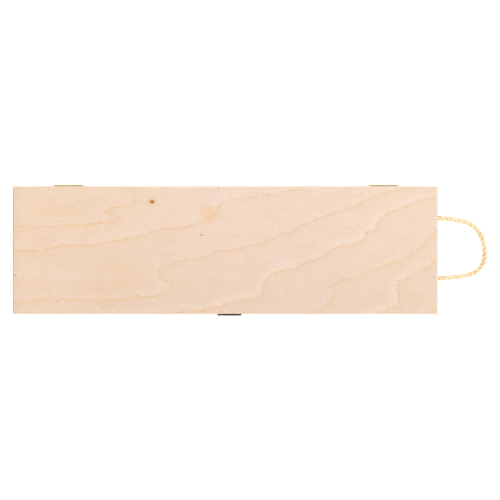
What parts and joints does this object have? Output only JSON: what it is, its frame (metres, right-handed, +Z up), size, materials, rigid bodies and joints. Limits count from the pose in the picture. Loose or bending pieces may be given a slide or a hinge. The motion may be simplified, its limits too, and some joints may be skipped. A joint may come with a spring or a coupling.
{
  "type": "wooden wine box",
  "caption": "Long wooden box for one bottle, with finger-jointed walls, glued panels, a hinged lid, a snap clasp in front and a rope handle at one end.",
  "frame": {"origin": "middle of the underside of the base", "axes": "+X along the box towards the rope handle, +Y towards the hinges at the back, +Z up"},
  "size_m": [0.4043, 0.11, 0.095],
  "materials": {
    "panel_wood": "bare sanded pale veneer with thin orange growth rings",
    "wall_wood": "bare sanded pale solid wood",
    "bright_brass": "pale brass plating, lightly worn",
    "aged_brass": "dark aged brass, rubbed bright on its edges",
    "rope": "pale laid fibre rope of three strands"
  },
  "bodies": {
    "base": {"base_panel": "panel_wood", "base_front_wall": "wall_wood", "base_back_wall": "wall_wood", "base_left_end": "wall_wood", "base_right_end": "wall_wood", "left_hinge_base_leaf": "bright_brass", "left_hinge_pin": "bright_brass", "left_hinge_base_nails": "bright_brass", "right_hinge_base_leaf": "bright_brass", "right_hinge_pin": "bright_brass", "right_hinge_base_nails": "bright_brass", "clasp_catch_plate": "aged_brass", "clasp_catch_nails": "aged_brass", "rope_handle": "rope", "rope_knot_back": "rope", "rope_knot_front": "rope"},
    "lid": {"lid_panel": "panel_wood", "lid_front_rail": "wall_wood", "lid_back_rail": "wall_wood", "lid_left_end": "wall_wood", "lid_right_end": "wall_wood", "left_hinge_lid_leaf": "bright_brass", "left_hinge_lid_nails": "bright_brass", "right_hinge_lid_leaf": "bright_brass", "right_hinge_lid_nails": "bright_brass", "clasp_lid_plate": "aged_brass", "clasp_lid_nails": "aged_brass", "clasp_pin": "aged_brass"},
    "clasp_flap": {"clasp_flap": "aged_brass"}
  },
  "joints": [
    {"name": "lid_hinge", "type": "hinge", "parent": "base", "child": "lid", "pos_m": [0, 0.05365, 0.07], "axis": [-1, 0, 0], "range_deg": [0, 180]},
    {"name": "clasp_swing", "type": "hinge", "parent": "lid", "child": "clasp_flap", "pos_m": [0.003, -0.05375, 0.073], "axis": [-1, 0, 0], "range_deg": [0, 150]}
  ]
}
